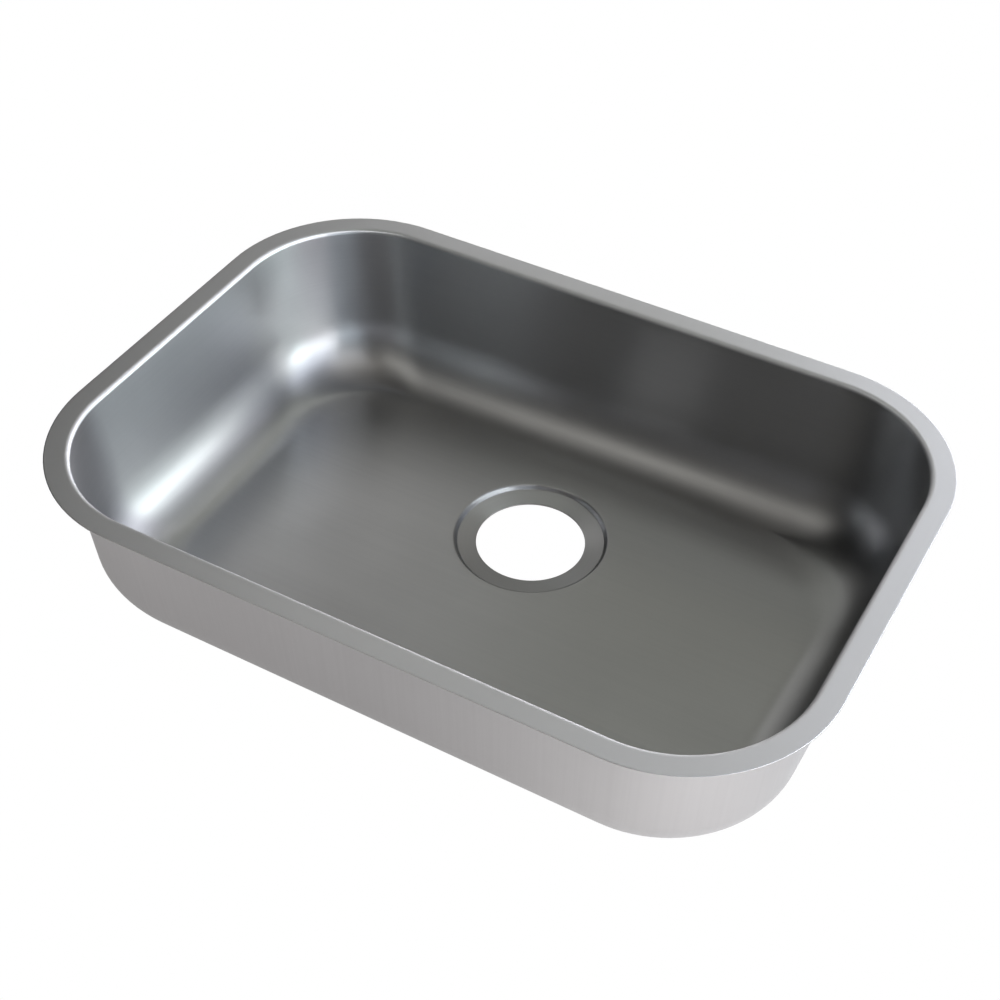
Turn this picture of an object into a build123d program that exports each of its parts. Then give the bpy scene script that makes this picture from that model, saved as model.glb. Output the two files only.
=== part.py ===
from build123d import *
import os
from math import cos, radians, sin, tan

# Single-bowl undermount kitchen sink, in millimetres.
# The origin is the middle of the flange's flat top, the face that meets the worktop.
# +X runs to the right along the sink, +Y to the back, +Z up out of the bowl.

# --- sheet and flange ---
sheet = 1.2  # thickness of the stainless sheet
flange_width = 19.0  # from the flange's outer edge to the line of the bowl's wall
rim_bend = 2.8  # inside radius of the bend under the flange, where it turns into the wall

# --- bowl, measured on its inside surface ---
opening_length = 592.0  # along X, between the lines of the end walls at the flange's top
opening_depth = 404.5  # along Y, between the lines of the front and back walls
opening_corner = 100.0  # plan radius of the corners at the flange
bowl_depth = 138.0  # from the flange's top down to the floor
wall_draft = 4.0  # degrees that the walls lean in
cove_radius = 54.0  # sweep from the wall into the floor
floor_corner = 81.0  # plan radius of the corners where the cove meets the floor
cove_steps = 8  # outlines that carry each cove, beyond the first

# --- drain ---
drain_setback = 56.0  # the drain's centre, behind the middle of the bowl
drain_hole_radius = 45.0
recess_radius = 63.0  # where the floor starts to turn down into the recess
recess_step = 3.6  # drop of the steep edge around the recess
recess_step_slope = 58.0  # degrees that this edge falls from level
seat_slope = 7.5  # degrees that the strainer's seat falls to the hole
recess_bend = 1.2  # inside radius of both bends of this edge

# --- sound pads, stuck under the floor ---
pad_thickness = 6.0
pad_corner = 12.0  # plan radius of a pad's corners
pad_edge_bevel = 1.0  # on the edges of a pad's underside
pad_cove_margin = 22.0  # from the end of the cove to the pads
pad_recess_margin = 14.0  # from the drain recess to the pads
pad_gap = 16.0  # between the front pad and each side pad

# --- sizes that follow from these ---
overall_length = opening_length + 2 * flange_width
overall_depth = opening_depth + 2 * flange_width
overall_corner = opening_corner + flange_width
draft = radians(wall_draft)
cove_centre_drop = bowl_depth - cove_radius
wall_foot_drop = cove_centre_drop + cove_radius * sin(draft)
floor_inset = wall_foot_drop * tan(draft) + cove_radius * cos(draft)
recess_rim = recess_radius + 2 * (recess_bend + sheet)
floor_underside = -(bowl_depth + sheet)
drain_place = Pos(0, drain_setback, -bowl_depth)
cut_height = bowl_depth  # of the cylinders that cut right through the floor, half of it above


def outline(inset, push, drop):
    """Plan outline of the bowl where its inside lies `inset` in from the opening, pushed out by `push`."""
    corner = opening_corner + (floor_corner - opening_corner) * inset / floor_inset
    across = opening_length - 2 * (inset - push)
    along = opening_depth - 2 * (inset - push)
    return Pos(0, 0, -drop) * RectangleRounded(across, along, corner + push)


def cove_outline(angle, skin):
    """Outline at `angle` round the cove, on the surface that lies `skin` outside the bowl's inside."""
    inset = floor_inset - cove_radius * cos(angle)
    drop = cove_centre_drop + (cove_radius + skin) * sin(angle)
    return outline(inset, skin * cos(angle), drop)


def bowl_block(skin):
    """Solid block bounded by the surface that lies `skin` outside the bowl's inside."""
    turn = (radians(90) - draft) / cove_steps
    cove_outlines = [cove_outline(draft + step * turn, skin) for step in range(cove_steps + 1)]
    top = outline(0, skin / cos(draft), 0)
    wall = loft([top, cove_outlines[0]], ruled=True)
    cove = loft(cove_outlines)
    return wall + cove


def make_recess():
    """Dished ring of sheet that steps down from the floor and falls to the drain hole."""
    seat_fall = tan(radians(seat_slope))
    step_foot = recess_radius - recess_step / tan(radians(recess_step_slope))
    seat_end = drain_hole_radius - sheet
    seat_end_drop = recess_step + (step_foot - seat_end) * seat_fall
    upper_side = FilletPolyline(
        (recess_rim, 0),
        (recess_radius, 0),
        (step_foot, -recess_step),
        (seat_end, -seat_end_drop),
        radius=[recess_bend + sheet, recess_bend],
    )
    section = make_face(offset(upper_side, amount=sheet, side=Side.LEFT))
    ring = revolve(Plane.XZ * section, axis=Axis.Z)
    hole = Cylinder(drain_hole_radius, cut_height)
    return drain_place * (ring - hole)


def make_bowl():
    """The whole sink body, pressed from one sheet."""
    plate = extrude(RectangleRounded(overall_length, overall_depth, overall_corner), amount=-sheet)
    bowl = plate + bowl_block(sheet) - bowl_block(0)
    flange_underside = bowl.faces().filter_by(Plane.XY).filter_by_position(Axis.Z, -sheet, -sheet)[0]
    bowl = fillet(flange_underside.inner_wires()[0].edges(), rim_bend)
    flange_top = bowl.faces().sort_by(Axis.Z)[-1]
    bowl = fillet(flange_top.inner_wires()[0].edges(), rim_bend + sheet)
    floor_opening = drain_place * Cylinder(recess_rim, cut_height)
    return bowl - floor_opening + make_recess()


def make_pad(left, right, front, back):
    """Rubber pad under the floor, between these edges."""
    plan = RectangleRounded(right - left, back - front, pad_corner)
    centre = Pos((left + right) / 2, (front + back) / 2, floor_underside)
    pad = extrude(centre * plan, amount=-pad_thickness)
    return chamfer(pad.faces().sort_by(Axis.Z)[0].edges(), pad_edge_bevel)


def make_pads():
    """Two side pads and one in front of the drain."""
    pad_end = opening_length / 2 - floor_inset - pad_cove_margin
    pad_side = opening_depth / 2 - floor_inset - pad_cove_margin
    inner_edge = recess_rim + pad_recess_margin
    front_pad_end = inner_edge - pad_gap
    return {
        "sound_pad_left": make_pad(-pad_end, -inner_edge, -pad_side, pad_side),
        "sound_pad_right": make_pad(inner_edge, pad_end, -pad_side, pad_side),
        "sound_pad_front": make_pad(-front_pad_end, front_pad_end, -pad_side, drain_setback - inner_edge),
    }


os.makedirs("parts", exist_ok=True)
pieces = {"bowl": make_bowl(), **make_pads()}
for name, piece in pieces.items():
    export_step(piece, f"parts/{name}.step")
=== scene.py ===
from math import atan2, cos, pi, radians, sin, tan

import bmesh
import bpy
from mathutils import Matrix, Vector


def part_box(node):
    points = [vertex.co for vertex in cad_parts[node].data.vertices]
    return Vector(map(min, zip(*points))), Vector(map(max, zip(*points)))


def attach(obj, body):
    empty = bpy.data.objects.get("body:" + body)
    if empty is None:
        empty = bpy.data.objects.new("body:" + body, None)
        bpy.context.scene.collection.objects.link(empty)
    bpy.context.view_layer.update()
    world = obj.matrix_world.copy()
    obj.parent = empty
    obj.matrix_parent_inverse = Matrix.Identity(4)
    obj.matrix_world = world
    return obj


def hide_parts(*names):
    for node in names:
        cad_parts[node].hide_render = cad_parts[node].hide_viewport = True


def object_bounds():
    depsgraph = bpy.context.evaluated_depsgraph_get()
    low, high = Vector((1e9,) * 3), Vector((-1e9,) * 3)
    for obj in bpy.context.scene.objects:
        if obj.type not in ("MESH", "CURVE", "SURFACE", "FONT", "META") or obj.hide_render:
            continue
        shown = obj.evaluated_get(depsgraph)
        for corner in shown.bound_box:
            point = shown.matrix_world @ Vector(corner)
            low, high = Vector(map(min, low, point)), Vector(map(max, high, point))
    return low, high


# Stainless undermount sink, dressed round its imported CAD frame. Everything is in metres.
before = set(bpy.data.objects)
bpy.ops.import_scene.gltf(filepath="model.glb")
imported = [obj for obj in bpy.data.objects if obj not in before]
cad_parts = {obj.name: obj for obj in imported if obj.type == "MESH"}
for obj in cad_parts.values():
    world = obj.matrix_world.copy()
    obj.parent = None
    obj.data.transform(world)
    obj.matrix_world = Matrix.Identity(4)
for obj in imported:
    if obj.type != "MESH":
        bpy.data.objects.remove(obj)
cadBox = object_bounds()
mm = 0.001

# camera, where the photograph's own camera stood, as a program solved it from the sink's outlines

cameraSetup = {
    "lens": 62.31,
    "sensor": 36,
    "clip": (0.05, 50),
    "azimuth": 28.94,  # degrees, from the front towards the right
    "elevation": 43.21,
    "roll": 0.80,
    "distance": 1.2953,
    "across": 0.00095,  # to the camera's right of the line through the origin
    "up": -0.03739,
}


def placeCamera(setup):
    azimuth, elevation = radians(setup["azimuth"]), radians(setup["elevation"])
    back = Vector((sin(azimuth) * cos(elevation), -cos(azimuth) * cos(elevation), sin(elevation)))
    level = Vector((cos(azimuth), sin(azimuth), 0))
    upright = Matrix((level, back.cross(level), back)).transposed()
    turned = upright @ Matrix.Rotation(radians(setup["roll"]), 3, "Z")
    place = turned.to_4x4()
    place.translation = turned @ Vector((setup["across"], setup["up"], setup["distance"]))
    lensData = bpy.data.cameras.new("studioCamera")
    lensData.lens = setup["lens"]
    lensData.sensor_width = setup["sensor"]
    lensData.clip_start, lensData.clip_end = setup["clip"]
    cameraObject = bpy.data.objects.new("studioCamera", lensData)
    cameraObject.matrix_world = place
    bpy.context.scene.collection.objects.link(cameraObject)
    bpy.context.scene.camera = cameraObject


placeCamera(cameraSetup)
print("camera in place")

# node helpers


def newMaterial(name):
    material = bpy.data.materials.new(name)
    material.use_nodes = True
    tree = material.node_tree
    return material, tree, tree.nodes["Principled BSDF"]


def feed(tree, socket, value):
    # value is another node's output, or a fixed number or colour
    if isinstance(value, bpy.types.NodeSocket):
        tree.links.new(value, socket)
    else:
        socket.default_value = value


def addNode(tree, kind, inputs=None, **settings):
    node = tree.nodes.new(kind)
    for name, value in settings.items():
        setattr(node, name, value)
    for name, value in (inputs or {}).items():
        feed(tree, node.inputs[name], value)
    return node


def maths(tree, operation, first, second=0.0):
    return addNode(tree, "ShaderNodeMath", {0: first, 1: second}, operation=operation).outputs[0]


def ranged(tree, value, fromLow, fromHigh, toLow, toHigh, curve="LINEAR"):
    limits = {"From Min": fromLow, "From Max": fromHigh, "To Min": toLow, "To Max": toHigh}
    node = addNode(tree, "ShaderNodeMapRange", {"Value": value, **limits}, interpolation_type=curve)
    return node.outputs["Result"]


def noise(tree, vector, scale, detail=2.0, roughness=0.5):
    inputs = {"Vector": vector, "Scale": scale, "Detail": detail, "Roughness": roughness}
    return addNode(tree, "ShaderNodeTexNoise", inputs).outputs["Fac"]


def weighed(tree, first, firstShare, second, secondShare):
    # a sum of two values, each with its own weight
    firstPart = maths(tree, "MULTIPLY", first, firstShare)
    return maths(tree, "ADD", firstPart, maths(tree, "MULTIPLY", second, secondShare))


def swayed(tree, base, pattern, reach):
    # a value moved up and down by a pattern that runs from 0 to 1
    swing = maths(tree, "SUBTRACT", pattern, 0.5)
    return maths(tree, "ADD", base, maths(tree, "MULTIPLY", swing, reach))


def mixed(tree, share, first, second):
    node = addNode(tree, "ShaderNodeMix", {0: share, 2: first, 3: second}, data_type="FLOAT")
    return node.outputs[0]


def tinted(tree, share, first, second):
    node = addNode(tree, "ShaderNodeMix", data_type="RGBA")
    for index, value in ((0, share), (6, first), (7, second)):
        feed(tree, node.inputs[index], value)
    return node.outputs[2]


def addBump(tree, shader, distance, height):
    relief = {"Strength": 1.0, "Distance": distance, "Height": height}
    bump = addNode(tree, "ShaderNodeBump", relief)
    feed(tree, shader.inputs["Normal"], bump.outputs["Normal"])


def placeGroup(tree, group, inputs):
    node = tree.nodes.new("ShaderNodeGroup")
    node.node_tree = group
    for name, value in inputs.items():
        feed(tree, node.inputs[name], value)
    return node


def newGroup(name, inputs, outputs):
    # inputs and outputs are (name, socket type, default)
    group = bpy.data.node_groups.new(name, "ShaderNodeTree")
    for inOut, sockets in (("INPUT", inputs), ("OUTPUT", outputs)):
        for socketName, kind, default in sockets:
            socket = group.interface.new_socket(socketName, in_out=inOut, socket_type=kind)
            if default is not None:
                socket.default_value = default
    given = group.nodes.new("NodeGroupInput").outputs
    return group, given, group.nodes.new("NodeGroupOutput").inputs


# groups that the finishes share

# three layers of lines, from fine to broad: how closely they follow each other lengthwise and
# crosswise, as shares of the finest, and the noise's detail
brushLayers = ((1.0, 1.0, 2.0), (0.45, 0.33, 2.0), (0.2, 0.09, 3.0))


def makeBrushing():
    # lines left by polishing: they run along the vector's X, and lie close together across its Y
    group, given, result = newGroup(
        "brushing",
        [
            ("Vector", "NodeSocketVector", None),
            ("Lines Per Metre", "NodeSocketFloat", 1400.0),
            ("Line Length", "NodeSocketFloat", 0.05),
        ],
        [("Height", "NodeSocketFloat", None), ("Streaks", "NodeSocketFloat", None)],
    )
    along = maths(group, "DIVIDE", 1.0, given["Line Length"])
    parts = addNode(group, "ShaderNodeSeparateXYZ", {0: given["Vector"]}).outputs
    layers = []
    for lengthShare, widthShare, detail in brushLayers:
        lengthScale = maths(group, "MULTIPLY", along, lengthShare)
        widthScale = maths(group, "MULTIPLY", given["Lines Per Metre"], widthShare)
        scaled = {}
        for axis, scale in enumerate((lengthScale, widthScale, widthScale)):
            scaled[axis] = maths(group, "MULTIPLY", parts[axis], scale)
        spread = addNode(group, "ShaderNodeCombineXYZ", scaled).outputs[0]
        layers.append(noise(group, spread, 1.0, detail, 0.6))
    fine, middle, broad = layers
    feed(group, result["Height"], weighed(group, fine, 0.55, middle, 0.45))
    streaks = weighed(group, middle, 0.4, broad, 0.6)
    feed(group, result["Streaks"], ranged(group, streaks, 0.35, 0.65, 0.0, 1.0))
    return group


def makeHandling():
    # faint cloudy patches that handling and wiping leave on any surface, and fine dust
    group, given, result = newGroup(
        "handling",
        [("Vector", "NodeSocketVector", None), ("Patch Size", "NodeSocketFloat", 0.06)],
        [("Clouds", "NodeSocketFloat", None), ("Dust", "NodeSocketFloat", None)],
    )
    scale = maths(group, "DIVIDE", 1.0, given["Patch Size"])
    clouds = noise(group, given["Vector"], scale, 4.0, 0.55)
    feed(group, result["Clouds"], ranged(group, clouds, 0.3, 0.7, 0.0, 1.0, "SMOOTHSTEP"))
    specksPerPatch = 40.0
    speckScale = maths(group, "MULTIPLY", scale, specksPerPatch)
    specks = noise(group, given["Vector"], speckScale, 2.0, 0.6)
    speckled = ranged(group, specks, 0.52, 0.72, 0.0, 1.0)
    settled = ranged(group, clouds, 0.42, 0.62, 0.2, 1.0)
    feed(group, result["Dust"], maths(group, "MULTIPLY", speckled, settled))
    return group


brushing = makeBrushing()
handling = makeHandling()

# steel: satin on the show side, a little duller on the outside of the pressing; the values make
# the render match the photograph and aren't measured ones

steelFinish = {
    "colour": (0.42, 0.42, 0.42),
    "streakColour": (0.408, 0.408, 0.41),
    # painted light: the flange's colour is far paler than the steel below it, standing in for the
    # extra light its open top catches
    "flangePaintedLightColour": (0.80, 0.805, 0.81),  # chosen by fit: the photograph's flange reads paler
    "flangeRoughness": 0.58,
    "flangeFoot": (-4.0 * mm, -0.6 * mm),  # between these heights the steel turns into the flange's rougher finish and its paler colour, which is painted light
    "roughness": 0.36,
    "streakRoughness": 0.02,  # how much the polishing lines change it
    "cloudRoughness": 0.02,  # and the clouds left by handling
    "cloudSize": 0.09,
    "anisotropy": 0.75,
    "lineHeight": 0.004 * mm,
    "linesPerMetre": 3200.0,
    "lineLength": 0.05,
}

outsideFinish = {
    "colour": (0.518, 0.5, 0.497),
    "streakColour": (0.506, 0.488, 0.485),
    "roughness": 0.42,
    "streakRoughness": 0.02,
    "cloudRoughness": 0.04,
    "cloudSize": 0.09,
    "lineHeight": 0.0025 * mm,
    "linesPerMetre": 2400.0,
    "lineLength": 0.07,
}


def acrossLines(tree, flatShare):
    # polishing lines smear a highlight across themselves: down the walls, along Y on level parts
    tangent = addNode(tree, "ShaderNodeMix", data_type="VECTOR")
    walls = addNode(tree, "ShaderNodeTangent", direction_type="UV_MAP", uv_map="polish")
    for index, value in ((0, flatShare), (4, walls.outputs[0]), (5, (1, 0, 0))):
        feed(tree, tangent.inputs[index], value)
    return tangent.outputs[1]


def makeSteel(name, finish, drawn=False):
    material, tree, shader = newMaterial(name)
    place = addNode(tree, "ShaderNodeTexCoord").outputs["Object"]
    polished = addNode(tree, "ShaderNodeUVMap", uv_map="polish").outputs["UV"]
    flatShare = addNode(tree, "ShaderNodeAttribute", attribute_name="flatShare").outputs["Fac"]
    if drawn:  # the outside keeps the lines along which the press drew the sheet down
        quarterTurn = {"Vector": polished, "Angle": pi / 2}
        turned = addNode(tree, "ShaderNodeVectorRotate", quarterTurn, rotation_type="Z_AXIS")
        polished = turned.outputs[0]
    lines = {"Lines Per Metre": finish["linesPerMetre"], "Line Length": finish["lineLength"]}
    wallLines = placeGroup(tree, brushing, {"Vector": polished, **lines}).outputs
    flatLines = placeGroup(tree, brushing, {"Vector": place, **lines}).outputs
    touched = placeGroup(tree, handling, {"Vector": place, "Patch Size": finish["cloudSize"]})
    streaks = mixed(tree, flatShare, wallLines["Streaks"], flatLines["Streaks"])
    height = mixed(tree, flatShare, wallLines["Height"], flatLines["Height"])
    shader.inputs["Metallic"].default_value = 1.0
    colour = tinted(tree, streaks, (*finish["colour"], 1), (*finish["streakColour"], 1))
    roughness = finish["roughness"]
    # on the flange, a rougher finish and a paler colour; the paler colour is painted light for the
    # extra light its open top catches
    if "flangeFoot" in finish:
        z = addNode(tree, "ShaderNodeSeparateXYZ", {0: place}).outputs[2]
        flangeShare = ranged(tree, z, *finish["flangeFoot"], 0.0, 1.0, "SMOOTHSTEP")
        colour = tinted(tree, flangeShare, colour, (*finish["flangePaintedLightColour"], 1))
        roughness = mixed(tree, flangeShare, roughness, finish["flangeRoughness"])
    feed(tree, shader.inputs["Base Color"], colour)
    if "anisotropy" in finish:
        shader.inputs["Anisotropic"].default_value = finish["anisotropy"]
        shader.inputs["Anisotropic Rotation"].default_value = 0.25
        feed(tree, shader.inputs["Tangent"], acrossLines(tree, flatShare))
    roughness = swayed(tree, roughness, streaks, finish["streakRoughness"])
    roughness = swayed(tree, roughness, touched.outputs["Clouds"], finish["cloudRoughness"])
    feed(tree, shader.inputs["Roughness"], roughness)
    addBump(tree, shader, finish["lineHeight"], height)
    return material


satinSteel = makeSteel("satinSteel", steelFinish)
drawnSteel = makeSteel("drawnSteel", outsideFinish, drawn=True)

# rubber of the sound pads

rubberFinish = {
    "colour": (0.030, 0.030, 0.032),
    "bloomColour": (0.060, 0.058, 0.056),  # a pale bloom, in clouds
    "dustColour": (0.16, 0.155, 0.15),
    "dustShare": 0.5,
    "roughness": (0.66, 0.80),  # where it is clean, and under the bloom
    "cloudSize": 0.035,
    "pebble": 0.9 * mm,
    "pebbleHeight": 0.10 * mm,
    "pebbleScatter": 0.85,
}


def makeRubber(finish):
    material, tree, shader = newMaterial("paddedRubber")
    place = addNode(tree, "ShaderNodeTexCoord").outputs["Object"]
    soil = placeGroup(tree, handling, {"Vector": place, "Patch Size": finish["cloudSize"]}).outputs
    grain = {"Vector": place, "Scale": 1 / finish["pebble"], "Randomness": finish["pebbleScatter"]}
    pebbles = addNode(tree, "ShaderNodeTexVoronoi", grain, feature="SMOOTH_F1").outputs["Distance"]
    rubber = tinted(tree, soil["Clouds"], (*finish["colour"], 1), (*finish["bloomColour"], 1))
    dusty = maths(tree, "MULTIPLY", soil["Dust"], finish["dustShare"])
    feed(tree, shader.inputs["Base Color"], tinted(tree, dusty, rubber, (*finish["dustColour"], 1)))
    roughness = ranged(tree, soil["Clouds"], 0.0, 1.0, *finish["roughness"])
    feed(tree, shader.inputs["Roughness"], roughness)
    addBump(tree, shader, finish["pebbleHeight"], pebbles)
    return material


paddedRubber = makeRubber(rubberFinish)
print("finishes made")

# bowl: outlines from the flange's edge down to the floor, rings round the drain, and the sheet's
# thickness under them

bowlSizes = {
    "sheet": 1.2 * mm,
    "flange": 19.0 * mm,
    "rimBend": 2.8 * mm,  # inside radius; the shown side has a sheet more
    "length": 592.0 * mm,
    "depth": 404.5 * mm,
    "corner": 100.0 * mm,
    "drop": 138.0 * mm,
    "draft": 4.0,
    "cove": 54.0 * mm,
    "floorCorner": 81.0 * mm,
    "drainSetback": 56.0 * mm,
    "drainHole": 45.0 * mm,
    "recess": 63.0 * mm,
    "recessStep": 3.6 * mm,
    "stepSlope": 58.0,
    "seatSlope": 7.5,
    "recessBend": 1.2 * mm,
    "edgeBreak": 0.25 * mm,  # on the cut edges of the sheet
    "edgeSteps": 2,
    "border": 1.0 * mm,  # strips of faces beside the flange's edges, which keep its shading flat
    "floorBorder": 1.5 * mm,  # the same on the floor, beside the cove
    "levelGrainFrom": 0.6,  # share of the cove after which its grain turns into the floor's
    "cornerSteps": 24,
    "lengthSteps": 33,
    "depthSteps": 17,
    "bendSteps": 10,
    "wallSteps": 8,
    "coveSteps": 24,
    "floorSteps": 8,
    "stepTopSteps": 8,
    "stepFootSteps": 6,
    "seatShares": (0.05, 0.25, 0.5, 0.75, 0.95, 1.0),
}

ringStart = 1.0  # rings count their way across the lines from here, outlines from 0


def bowlSection(sizes):
    # (inset, drop, share of level grain) of each outline from the flange's edge down to the floor
    draft = radians(sizes["draft"])
    bend = sizes["rimBend"] + sizes["sheet"]
    bendTurn = pi / 2 - draft
    bendReach = bend * tan(bendTurn / 2)
    coveDrop = sizes["drop"] - sizes["cove"]
    footDrop = coveDrop + sizes["cove"] * sin(draft)
    floorInset = footDrop * tan(draft) + sizes["cove"] * cos(draft)
    flange, border = sizes["flange"], sizes["border"]
    points = [(inset, 0, 1) for inset in (-flange, border - flange, -bendReach - border)]
    for step in range(sizes["bendSteps"] + 1):
        share = step / sizes["bendSteps"]
        turn = bendTurn * share
        points.append((bend * sin(turn) - bendReach, bend - bend * cos(turn), 1 - share))
    topDrop = points[-1][1]
    for step in range(1, sizes["wallSteps"]):
        drop = topDrop + (footDrop - topDrop) * step / sizes["wallSteps"]
        points.append((drop * tan(draft), drop, 0))
    for step in range(sizes["coveSteps"] + 1):
        share = step / sizes["coveSteps"]
        turn = draft + (pi / 2 - draft) * share
        inset, drop = floorInset - sizes["cove"] * cos(turn), coveDrop + sizes["cove"] * sin(turn)
        levelShare = (share - sizes["levelGrainFrom"]) / (1 - sizes["levelGrainFrom"])
        points.append((inset, drop, min(max(levelShare, 0), 1)))
    points.append((floorInset + sizes["floorBorder"], sizes["drop"], 1))
    return points, floorInset


def recessSection(sizes):
    # (radius, drop below the floor) of each ring from the recess's rim in to the drain hole
    stepSlope, seatSlope = radians(sizes["stepSlope"]), radians(sizes["seatSlope"])
    topBend, lowBend = sizes["recessBend"] + sizes["sheet"], sizes["recessBend"]
    topReach, lowReach = topBend * tan(stepSlope / 2), lowBend * tan((stepSlope - seatSlope) / 2)
    foot = sizes["recess"] - sizes["recessStep"] / tan(stepSlope)
    points = [(sizes["recess"] + 2 * topBend, 0)]
    for step in range(sizes["stepTopSteps"] + 1):
        turn = stepSlope * step / sizes["stepTopSteps"]
        radius = sizes["recess"] + topReach - topBend * sin(turn)
        points.append((radius, topBend - topBend * cos(turn)))
    centre = foot - lowReach * cos(seatSlope) - lowBend * sin(seatSlope)
    centreDrop = sizes["recessStep"] + lowReach * sin(seatSlope) - lowBend * cos(seatSlope)
    for step in range(sizes["stepFootSteps"] + 1):
        turn = stepSlope + (seatSlope - stepSlope) * step / sizes["stepFootSteps"]
        points.append((centre + lowBend * sin(turn), centreDrop + lowBend * cos(turn)))
    seatTop, seatTopDrop = points[-1]
    for share in sizes["seatShares"]:
        radius = seatTop + (sizes["drainHole"] - seatTop) * share
        points.append((radius, seatTopDrop + (seatTop - radius) * tan(seatSlope)))
    return points


def roundEdges(mesh, parts, radius, steps, kind="EDGES"):
    return bmesh.ops.bevel(
        mesh,
        geom=parts,
        offset=radius,
        offset_type="OFFSET",
        segments=steps,
        affect=kind,
        profile=0.5,
        material=-1,
    )


def makeSheetMesh():
    # an empty mesh, and the layers that hold each point's place along and across the polishing
    # lines and its share of the level parts' grain
    mesh = bmesh.new()
    names = ("along", "across", "flatShare")
    return mesh, {name: mesh.verts.layers.float.new(name) for name in names}


def alongOutline(x, y, straightX, straightY, sizes):
    # how far round the opening a point lies, from the right-hand wall's middle by way of the back
    sideX, sideY = sizes["length"] / 2 - sizes["corner"], sizes["depth"] / 2 - sizes["corner"]
    quarter = sideX + sideY + sizes["corner"] * pi / 2
    if abs(y) <= straightY:
        reach = abs(y) / straightY * sideY
    elif abs(x) <= straightX:
        reach = quarter - abs(x) / straightX * sideX
    else:
        reach = sideY + sizes["corner"] * atan2(abs(y) - straightY, abs(x) - straightX)
    if x < 0:
        reach = 2 * quarter - reach
    return reach if y >= 0 else 4 * quarter - reach


def isSide(edge, axis):
    # a long straight edge along X (axis 0) or Y (axis 1), and not a step of a rounded corner
    first, second = (vert.co for vert in edge.verts)
    return edge.calc_length() > 20 * mm and abs((first - second)[1 - axis]) < 0.001 * mm


def addOutline(mesh, layers, sizes, inset, drop, flatShare, across, floorInset):
    # rounded rectangle of edges: a rectangle with its corners bevelled and its sides divided
    corner = sizes["corner"] - inset
    if inset > 0:
        share = min(inset / floorInset, 1)
        corner = sizes["corner"] + (sizes["floorCorner"] - sizes["corner"]) * share
    halfLength, halfDepth = sizes["length"] / 2 - inset, sizes["depth"] / 2 - inset
    place = Matrix.Translation((0, 0, -drop)) @ Matrix.Diagonal((halfLength, halfDepth, 1, 1))
    plate = bmesh.ops.create_grid(mesh, x_segments=1, y_segments=1, size=1, matrix=place)
    rounded = roundEdges(mesh, plate["verts"], corner, sizes["cornerSteps"], "VERTICES")
    face = rounded["verts"][0].link_faces[0]
    edges = list(face.edges)
    bmesh.ops.delete(mesh, geom=[face], context="FACES_ONLY")
    for axis, steps in ((0, sizes["lengthSteps"]), (1, sizes["depthSteps"])):
        sides = [edge for edge in edges if isSide(edge, axis)]
        edges = [edge for edge in edges if edge not in sides]
        divided = bmesh.ops.subdivide_edges(mesh, edges=sides, cuts=steps - 1)
        edges += [part for part in divided["geom_split"] if isinstance(part, bmesh.types.BMEdge)]
    straights = halfLength - corner, halfDepth - corner
    for vert in set(vert for edge in edges for vert in edge.verts):
        vert[layers["along"]] = alongOutline(vert.co.x, vert.co.y, *straights, sizes)
        vert[layers["across"]] = across
        vert[layers["flatShare"]] = flatShare
    return list(set(edges))


def addRing(mesh, layers, sizes, radius, drop, flatShare, across, count):
    # circle of edges round the drain
    centre = Matrix.Translation((0, sizes["drainSetback"], -sizes["drop"] - drop))
    place = centre @ Matrix.Rotation(pi / count, 4, "Z")
    circle = {"segments": count, "radius": radius, "matrix": place}
    ring = bmesh.ops.create_circle(mesh, cap_ends=False, **circle)["verts"]
    for vert in ring:
        turn = atan2(vert.co.y - sizes["drainSetback"], vert.co.x) % (2 * pi)
        vert[layers["along"]] = turn * sizes["recess"]
        vert[layers["across"]] = across
        vert[layers["flatShare"]] = flatShare
    return list(set(edge for vert in ring for edge in vert.link_edges))


def inOrder(edges, layers):
    # the points of a loop of edges in their order round it, taken once every loop is there: making
    # another loop would leave vertices taken before it invalid
    verts = set(vert for edge in edges for vert in edge.verts)
    return sorted(verts, key=lambda vert: vert[layers["along"]])


def addStrip(mesh, outer, inner):
    # quads between two loops of as many points, from each outer point to the inner one of its place
    for at in range(len(outer)):
        mesh.faces.new((outer[at - 1], outer[at], inner[at], inner[at - 1]))


def nearestTurn(outer, inner):
    # the inner loop started at the point that leaves the shortest spokes
    turned = [inner[start:] + inner[:start] for start in range(len(inner))]
    return min(turned, key=lambda loop: sum((a.co - b.co).length for a, b in zip(outer, loop)))


def runLength(points):
    # distance along a section up to each of its points
    lengths = [0.0]
    for (x0, y0), (x1, y1) in zip(points, points[1:]):
        lengths.append(lengths[-1] + ((x1 - x0) ** 2 + (y1 - y0) ** 2) ** 0.5)
    return lengths


def unwrapPolish(mesh, layers, sizes):
    # a UV map of metres along and across the polishing lines; a face that would span the whole way
    # round, from its end back to its start, has its points near the start carried past the end
    uv = mesh.loops.layers.uv.new("polish")
    outlineTurn = 2 * (sizes["length"] + sizes["depth"]) - (8 - 2 * pi) * sizes["corner"]
    ringTurn = 2 * pi * sizes["recess"]
    longestFace = 0.15
    for face in mesh.faces:
        reaches = [loop.vert[layers["along"]] for loop in face.loops]
        onRing = max(loop.vert[layers["across"]] for loop in face.loops) > ringStart
        for loop, reach in zip(face.loops, reaches):
            if max(reaches) - min(reaches) > longestFace and reach < longestFace:
                reach += ringTurn if onRing else outlineTurn
            loop[uv].uv = (reach, loop.vert[layers["across"]])


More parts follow.
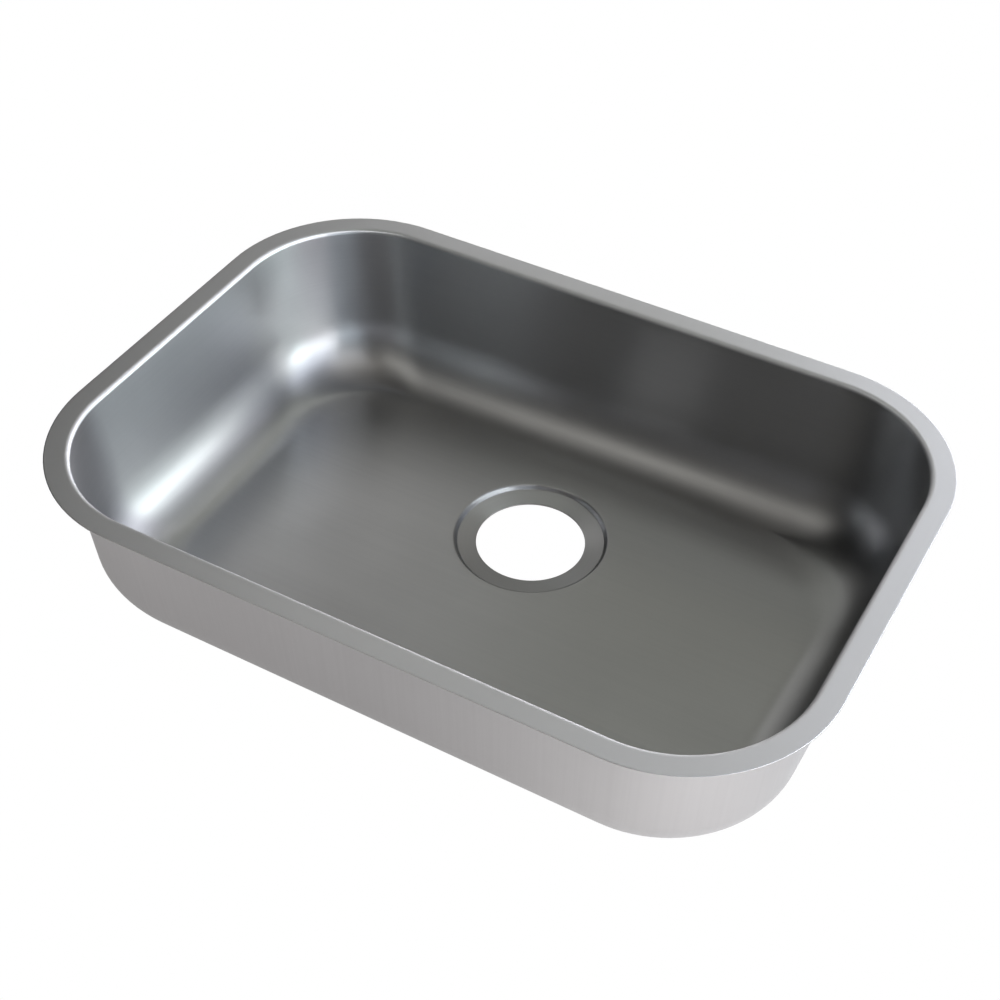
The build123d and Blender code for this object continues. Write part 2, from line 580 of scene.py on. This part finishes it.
def makeBowl(sizes):
    mesh, layers = makeSheetMesh()
    section, floorInset = bowlSection(sizes)
    lengths = runLength([point[:2] for point in section])
    loops = []
    for point, across in zip(section, lengths):
        loops.append(addOutline(mesh, layers, sizes, *point, across, floorInset))
    recess = recessSection(sizes)
    rings = []
    for (radius, drop), across in zip(recess, runLength(recess)):
        # rings at floor level take the floor's grain; the others count from a millimetre further on
        flatShare, further = (0, 1 * mm) if drop else (1, 0)
        across += ringStart + further
        rings.append(addRing(mesh, layers, sizes, radius, drop, flatShare, across, len(loops[0])))
    loops, rings = [[inOrder(edges, layers) for edges in group] for group in (loops, rings)]
    for outer, inner in list(zip(loops, loops[1:])) + list(zip(rings, rings[1:])):
        addStrip(mesh, outer, inner)
    recessRim = nearestTurn(loops[-1], rings[0])
    addStrip(mesh, loops[-1], recessRim)
    spokes = [mesh.edges.get(ends) for ends in zip(loops[-1], recessRim)]
    bmesh.ops.subdivide_edges(mesh, edges=spokes, cuts=sizes["floorSteps"] - 1, use_grid_fill=True)
    mesh.normal_update()
    showSide = list(mesh.faces)
    bmesh.ops.solidify(mesh, geom=showSide, thickness=sizes["sheet"])
    for face in set(mesh.faces) - set(showSide):
        face.material_index = 1
    cutEdges = [edge for edge in mesh.edges if edge.calc_face_angle(0) > radians(60)]
    roundEdges(mesh, cutEdges, sizes["edgeBreak"], sizes["edgeSteps"])
    unwrapPolish(mesh, layers, sizes)
    return mesh


def finishPiece(mesh, name, node, materials):
    for face in mesh.faces:
        face.smooth = True
    data = bpy.data.meshes.new(name)
    mesh.to_mesh(data)
    mesh.free()
    for material in materials:
        data.materials.append(material)
    piece = bpy.data.objects.new(name, data)
    bpy.context.scene.collection.objects.link(piece)
    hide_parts(node)
    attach(piece, "root")


finishPiece(makeBowl(bowlSizes), "sink_bowl", "bowl", [satinSteel, drawnSteel])
print("bowl made")

# sound pads: moulded rubber slabs stuck under the floor

padSizes = {
    "corner": 12.0 * mm,
    "cornerSteps": 10,
    "lowEdge": 1.0 * mm,
    "lowEdgeSteps": 4,
    "topEdge": 0.25 * mm,
    "topEdgeSteps": 2,
    "flatBorder": 1.0 * mm,  # a strip of faces round each flat side, which keeps its shading flat
}


def isRim(edge, height):
    # a sharp edge of the slab, all of it at this height
    level = all(abs(vert.co.z - height) < 0.001 * mm for vert in edge.verts)
    return level and edge.calc_face_angle(0) > radians(60)


def makePad(node, sizes):
    low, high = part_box(node)
    mesh = bmesh.new()
    centre, half = (low + high) / 2, (high - low) / 2
    top = Matrix.Translation((centre.x, centre.y, high.z))
    place = top @ Matrix.Diagonal((half.x, half.y, 1, 1))
    plate = bmesh.ops.create_grid(mesh, x_segments=1, y_segments=1, size=1, matrix=place)
    roundEdges(mesh, plate["verts"], sizes["corner"], sizes["cornerSteps"], "VERTICES")
    pulled = bmesh.ops.extrude_face_region(mesh, geom=list(mesh.faces), use_keep_orig=True)
    lowVerts = [part for part in pulled["geom"] if isinstance(part, bmesh.types.BMVert)]
    bmesh.ops.translate(mesh, verts=lowVerts, vec=(0, 0, low.z - high.z))
    bmesh.ops.recalc_face_normals(mesh, faces=mesh.faces)
    for height, edgeName in ((low.z, "lowEdge"), (high.z, "topEdge")):
        rim = [edge for edge in mesh.edges if isRim(edge, height)]
        roundEdges(mesh, rim, sizes[edgeName], sizes[edgeName + "Steps"])
    for flat in [face for face in mesh.faces if len(face.verts) > 4]:
        border = sizes["flatBorder"]
        bmesh.ops.inset_region(mesh, faces=[flat], thickness=border, use_even_offset=True)
    name = node.replace("sound_pad", "rubber_pad")
    finishPiece(mesh, name, node, [paddedRubber])


for node in ("sound_pad_left", "sound_pad_right", "sound_pad_front"):
    makePad(node, padSizes)
print("pads made")

# studio: a pale floor and curved banks of soft light round the sink; the floor's two glows and the
# banks' radiances and colours are rounded from a program's least-squares fit to the photograph

floorSetup = {
    "size": 6.0,
    "paint": (0.30, 0.30, 0.30),
    "roughness": 0.9,
    "frontGlow": 0.68,  # most of its light lies in front of the sink
    "glowReach": 0.7,
    "poolGlow": 0.66,  # and in a pool at the front right
    "poolCentre": (0.42, -0.3, 0.0),
    "poolReach": 0.5,
}


def blended(tree, share, first, second):
    # a mix of two nodes' shaders
    shaders = {0: share, 1: first.outputs[0], 2: second.outputs[0]}
    return addNode(tree, "ShaderNodeMixShader", shaders)


def addStage(mesh, name, material):
    data = bpy.data.meshes.new(name)
    mesh.to_mesh(data)
    mesh.free()
    data.materials.append(material)
    thing = bpy.data.objects.new(name, data)
    bpy.context.scene.collection.objects.link(thing)
    return thing


def makeFloor(setup):
    # the camera sees it as plain white paper, or from below not at all, so that the underside
    # shows; the sink sees it as dull paint that glows in front
    material, tree, shader = newMaterial("paleFloor")
    shader.inputs["Base Color"].default_value = (*setup["paint"], 1)
    shader.inputs["Roughness"].default_value = setup["roughness"]
    shader.inputs["Emission Color"].default_value = (1, 1, 1, 1)
    place = addNode(tree, "ShaderNodeTexCoord").outputs["Object"]
    y = addNode(tree, "ShaderNodeSeparateXYZ", {0: place}).outputs[1]
    reach = setup["glowReach"]
    front = ranged(tree, y, reach, -reach, 0.0, 1.0, "SMOOTHSTEP")
    toPool = {0: place, 1: setup["poolCentre"]}
    away = addNode(tree, "ShaderNodeVectorMath", toPool, operation="DISTANCE").outputs["Value"]
    pool = ranged(tree, away, setup["poolReach"], 0.0, 0.0, 1.0, "SMOOTHSTEP")
    glow = weighed(tree, front, setup["frontGlow"], pool, setup["poolGlow"])
    feed(tree, shader.inputs["Emission Strength"], glow)
    paper = addNode(tree, "ShaderNodeEmission", {"Strength": 1.0})
    fromBelow = addNode(tree, "ShaderNodeNewGeometry").outputs["Backfacing"]
    clear = addNode(tree, "ShaderNodeBsdfTransparent")
    shown = blended(tree, fromBelow, paper, clear)
    seen = addNode(tree, "ShaderNodeLightPath").outputs["Is Camera Ray"]
    both = blended(tree, seen, shader, shown)
    feed(tree, tree.nodes["Material Output"].inputs["Surface"], both.outputs[0])
    mesh = bmesh.new()
    place = Matrix.Translation((0, 0, cadBox[0][2]))
    bmesh.ops.create_grid(mesh, x_segments=1, y_segments=1, size=setup["size"], matrix=place)
    addStage(mesh, "studio_floor", material)


makeFloor(floorSetup)

bankDistance = 2.6
bankSteps = 4
bankStepsPerRadian = 8
softBanks = {
    # azimuth from and to (0 is +X, 90 is +Y), elevation from and to, radiance, colour
    "rightLow": (-35, 0, 4, 16, 3.4, (1.03, 0.93, 1.05)),
    "rightBackLow": (0, 45, 4, 16, 8.4, (0.90, 1.04, 1.06)),
    "rightMid": (-35, 45, 16, 26, 8.7, (0.97, 1.02, 1.02)),
    "rightTop": (-35, 20, 26, 38, 0.7, (0.80, 0.95, 1.2)),  # nearer to white than the fit
    "frontRightLow": (-62, -35, 5, 24, 2.2, (0.86, 1.0, 1.14)),
    "rightBackTop": (45, 90, 24, 40, 1.65, (0.95, 0.96, 1.09)),
    "rightBackMid": (45, 98, 9, 24, 5.6, (0.96, 0.98, 1.06)),
    "backLow": (68, 120, 0, 9, 7.5, (1.0, 0.97, 1.03)),
    "rightUpper": (-25, 40, 38, 50, 3.4, (0.91, 0.96, 1.13)),
    "frontRightHigh": (-65, -20, 50, 62, 2.6, (0.97, 0.99, 1.04)),
    "backUpper": (80, 116, 34, 48, 0.3, (1.1, 1.05, 0.85)),
    "backHigh": (75, 135, 50, 64, 1.37, (1.0, 1.03, 0.97)),
    "backLeft": (118, 150, 32, 50, 1.27, (1.01, 1.0, 0.99)),
    "frontLeftHigh": (-155, -90, 50, 62, 2.07, (1.03, 1.01, 0.96)),
    "frontTop": (-100, 0, 62, 78, 1.05, (1.08, 1.01, 0.91)),
}


def addBank(name, azimuthFrom, azimuthTo, elevationFrom, elevationTo, radiance, colour):
    # a strip of a sphere round the sink: an arc of edges, spun about the upright
    mesh = bmesh.new()
    foot = Vector((bankDistance, 0, 0))
    origin, upright = (0, 0, 0), (0, 0, 1)
    verts = []
    for step in range(bankSteps + 1):
        elevation = radians(elevationFrom + (elevationTo - elevationFrom) * step / bankSteps)
        verts.append(mesh.verts.new(Matrix.Rotation(-elevation, 3, "Y") @ foot))
    arc = [mesh.edges.new(pair) for pair in zip(verts, verts[1:])]
    aside = Matrix.Rotation(radians(azimuthFrom), 3, "Z")
    bmesh.ops.rotate(mesh, verts=verts, cent=origin, matrix=aside)
    turn = radians(azimuthTo - azimuthFrom)
    turnSteps = max(bankSteps, round(turn * bankStepsPerRadian))
    bmesh.ops.spin(mesh, geom=verts + arc, cent=origin, axis=upright, angle=turn, steps=turnSteps)
    material, _, shader = newMaterial(name + "Light")
    shader.inputs["Base Color"].default_value = (0, 0, 0, 1)
    shader.inputs["Emission Color"].default_value = (*colour, 1)
    shader.inputs["Emission Strength"].default_value = radiance
    addStage(mesh, "studio_" + name, material).visible_camera = False


for name, values in softBanks.items():
    addBank(name, *values)


def makeAir():
    # white paper to the camera, and dark to everything else, which the banks light alone
    world = bpy.data.worlds.new("studioAir")
    world.use_nodes = True
    tree = world.node_tree
    dark = tree.nodes["Background"]
    dark.inputs["Color"].default_value = (0, 0, 0, 1)
    paper = addNode(tree, "ShaderNodeBackground", {"Color": (1, 1, 1, 1), "Strength": 1.0})
    seen = addNode(tree, "ShaderNodeLightPath").outputs["Is Camera Ray"]
    both = blended(tree, seen, dark, paper)
    feed(tree, tree.nodes["World Output"].inputs["Surface"], both.outputs[0])
    bpy.context.scene.world = world


makeAir()
bpy.context.scene.view_settings.view_transform = "Standard"
bpy.context.scene.view_settings.gamma = 0.88  # a little of a camera's own contrast
print("studio lit")
